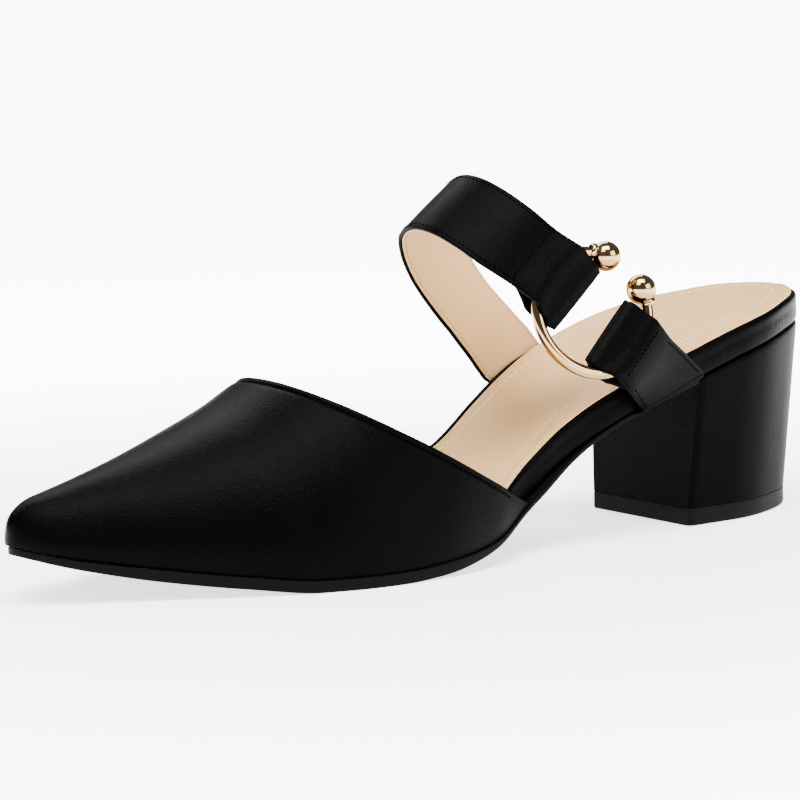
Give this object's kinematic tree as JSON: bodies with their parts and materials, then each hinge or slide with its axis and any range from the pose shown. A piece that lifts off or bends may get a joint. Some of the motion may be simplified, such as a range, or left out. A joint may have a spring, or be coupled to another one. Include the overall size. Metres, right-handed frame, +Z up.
{
  "type": "block heel mule",
  "caption": "Pointed closed-toe mule with an open block heel and an instep strap closed by an open ring with ball ends.",
  "frame": {"origin": "middle of the shoe's box from above, on the floor that heel and forefoot stand on", "axes": "+X to the toe, +Y to the outer side of the left foot, +Z up"},
  "size_m": [0.2504, 0.0786, 0.0964],
  "materials": {
    "upper_leather": "satin, fine grain",
    "lining_leather": "soft matte",
    "heel_cover": "satin",
    "sole_rubber": "matte",
    "tip_rubber": "matte",
    "gold_metal": "polished"
  },
  "bodies": {
    "root": {"outsole": "sole_rubber", "footbed": "upper_leather", "sock": "lining_leather", "upper": "upper_leather", "heel_block": "heel_cover", "heel_tip": "tip_rubber", "strap": "upper_leather", "tab": "upper_leather", "ring": "gold_metal"}
  },
  "joints": []
}
